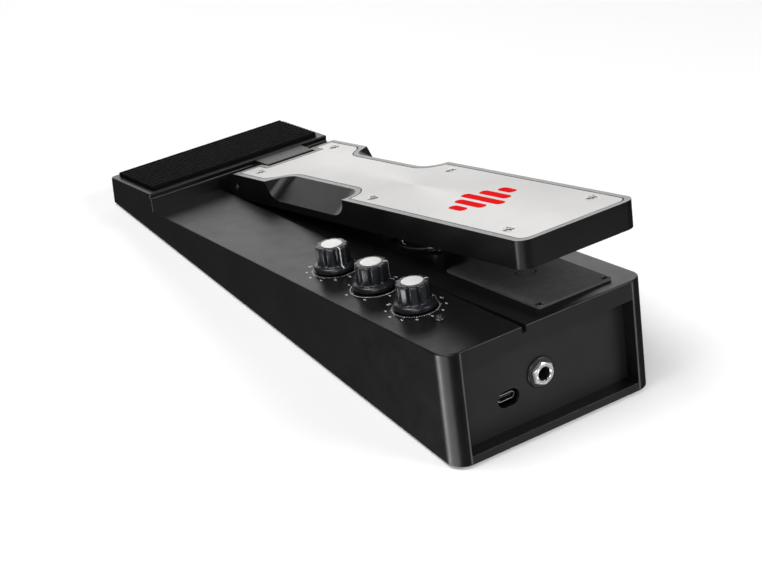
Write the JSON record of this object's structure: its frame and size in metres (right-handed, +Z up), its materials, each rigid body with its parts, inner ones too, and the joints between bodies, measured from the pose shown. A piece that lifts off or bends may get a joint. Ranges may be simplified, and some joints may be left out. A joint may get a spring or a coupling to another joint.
{
  "type": "guitar effects pedal",
  "caption": "Guitar expression pedal: wedge-shaped black base with a sprung footboard, control knobs, a strike pad under the toe and sockets in the toe end.",
  "frame": {"origin": "on the ground, under the middle of the base", "axes": "+X towards the toe end with the sockets, +Z up, -Y the side with the knobs"},
  "size_m": [0.3, 0.1044, 0.0865],
  "materials": {
    "black_paint": "die casting with a satin black coat",
    "dark_steel": "matt painted sheet",
    "brushed_plate": "fine brushed",
    "zinc_screw": "zinc plated",
    "black_screw": "black zinc",
    "spring_steel": "drawn wire",
    "chrome": "plated",
    "bronze_bush": "sintered",
    "can_steel": "plated sheet",
    "rubber": "matt",
    "pad_rubber": "matt",
    "black_nylon": "satin",
    "washer": "satin",
    "black_plastic": "glossy",
    "led_clear": "clear dome",
    "sensor": "film",
    "circuit_board": "solder mask"
  },
  "bodies": {
    "base": {"base_housing": "black_paint", "base_plate": "dark_steel", "base_screw_1": "zinc_screw", "base_screw_2": "zinc_screw", "base_screw_3": "zinc_screw", "base_screw_4": "zinc_screw", "base_screw_5": "zinc_screw", "base_screw_6": "zinc_screw", "hinge_pin": "zinc_screw", "pad_screw_1": "black_screw", "pad_screw_2": "black_screw", "return_spring": "spring_steel", "jack_nut": "chrome", "led_bezel": "chrome", "pot_nut_1": "chrome", "pot_nut_2": "chrome", "pot_nut_3": "chrome", "hinge_bush_near": "bronze_bush", "hinge_bush_far": "bronze_bush", "usb_socket": "can_steel", "pot_1": "can_steel", "pot_2": "can_steel", "pot_3": "can_steel", "heel_mat": "rubber", "trigger_button": "rubber", "rubber_foot_1": "rubber", "rubber_foot_2": "rubber", "rubber_foot_3": "rubber", "rubber_foot_4": "rubber", "strike_pad": "pad_rubber", "spring_seat": "black_nylon", "jack_washer": "washer", "output_jack": "black_plastic", "processor": "black_plastic", "led_lens": "led_clear", "force_sensor": "sensor", "control_board": "circuit_board", "main_board": "circuit_board"},
    "footboard": {"footboard_body": "black_paint", "footboard_plate": "brushed_plate", "plate_screw_1": "zinc_screw", "plate_screw_2": "zinc_screw", "plate_screw_3": "zinc_screw", "plate_screw_4": "zinc_screw", "plate_screw_5": "zinc_screw", "plate_screw_6": "zinc_screw", "striker": "rubber"},
    "knob_1_turning": {"knob_1": "black_plastic", "knob_cap_1": "brushed_plate", "pot_shaft_1": "zinc_screw"},
    "knob_2_turning": {"knob_2": "black_plastic", "knob_cap_2": "brushed_plate", "pot_shaft_2": "zinc_screw"},
    "knob_3_turning": {"knob_3": "black_plastic", "knob_cap_3": "brushed_plate", "pot_shaft_3": "zinc_screw"}
  },
  "joints": [
    {"name": "footboard_hinge", "type": "hinge", "parent": "base", "child": "footboard", "pos_m": [-0.0962, 0.02195, 0.0172], "axis": [0, 1, 0], "range_deg": [0, 3.4], "stiffness_Nm_per_rad": 16, "springref_deg": -4.58, "deforming": ["return_spring"]},
    {"name": "knob_1_turn", "type": "hinge", "parent": "base", "child": "knob_1_turning", "pos_m": [0.0308, -0.0312, 0.03506], "axis": [-0.1529, 0, 0.9882], "range_deg": [-148.4, 151.6]},
    {"name": "knob_2_turn", "type": "hinge", "parent": "base", "child": "knob_2_turning", "pos_m": [0.0621, -0.0312, 0.0399], "axis": [-0.1529, 0, 0.9882], "range_deg": [-203.4, 96.6]},
    {"name": "knob_3_turn", "type": "hinge", "parent": "base", "child": "knob_3_turning", "pos_m": [0.0934, -0.0312, 0.04474], "axis": [-0.1529, 0, 0.9882], "range_deg": [-227.4, 72.6]}
  ]
}
